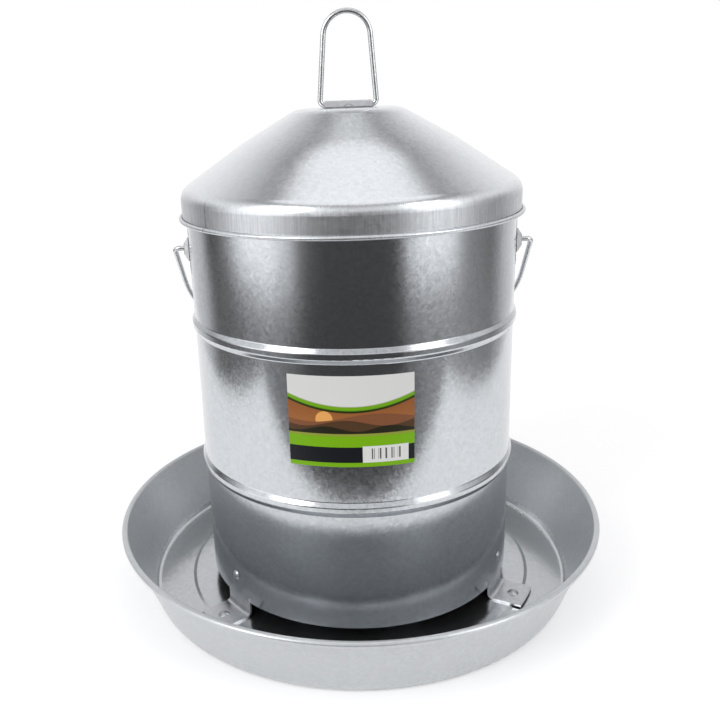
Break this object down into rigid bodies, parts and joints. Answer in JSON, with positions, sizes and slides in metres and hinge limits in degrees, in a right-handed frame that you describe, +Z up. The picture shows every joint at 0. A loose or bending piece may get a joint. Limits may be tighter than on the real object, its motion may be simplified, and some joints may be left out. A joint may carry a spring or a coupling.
{
  "type": "poultry feeder",
  "caption": "Galvanised steel poultry feeder: a round barrel with a cone lid and wire handles, standing on small legs in a wide round feed pan.",
  "frame": {"origin": "centre of the pan's underside, on the ground", "axes": "+Z up along the barrel's axis, -Y towards the front, where the label is, +X to the right seen from the front"},
  "size_m": [0.3995, 0.3996, 0.4525],
  "materials": {
    "pan_sheet": "dull galvanised sheet, pale grey with a faint spangle",
    "barrel_sheet": "bright galvanised sheet with a fine spangle",
    "lid_sheet": "bright galvanised sheet, lightly brushed on the skirt",
    "bracket_steel": "galvanised strip",
    "wire": "galvanised round wire",
    "rivet_steel": "zinc-plated rivets",
    "label_print": "printed film in plain fields of green, white, brown and black"
  },
  "bodies": {
    "feeder": {"feed_pan": "pan_sheet", "pan_rim_wire": "pan_sheet", "barrel": "barrel_sheet", "barrel_rim_wire": "barrel_sheet", "leg_left": "bracket_steel", "leg_right": "bracket_steel", "leg_rear": "bracket_steel", "leg_rivets": "rivet_steel", "foot_rivets": "rivet_steel", "ear_left": "bracket_steel", "ear_right": "bracket_steel", "ear_rivets": "rivet_steel", "label": "label_print"},
    "lid_body": {"lid": "lid_sheet", "lid_hem_wire": "lid_sheet", "loop_strap": "bracket_steel", "strap_rivets": "rivet_steel"},
    "loop_body": {"lid_loop": "wire"},
    "bail_body": {"bail_handle": "wire"}
  },
  "joints": [
    {"name": "lid_lift", "type": "slide", "parent": "feeder", "child": "lid_body", "axis": [0, 0, 1], "range_m": [0, 0.12]},
    {"name": "loop_fold", "type": "hinge", "parent": "lid_body", "child": "loop_body", "pos_m": [0, 0, 0.38493], "axis": [1, 0, 0], "range_deg": [-88, 88]},
    {"name": "bail_swing", "type": "hinge", "parent": "feeder", "child": "bail_body", "pos_m": [0, 0, 0.28001], "axis": [1, 0, 0], "range_deg": [0, 272.5]}
  ]
}
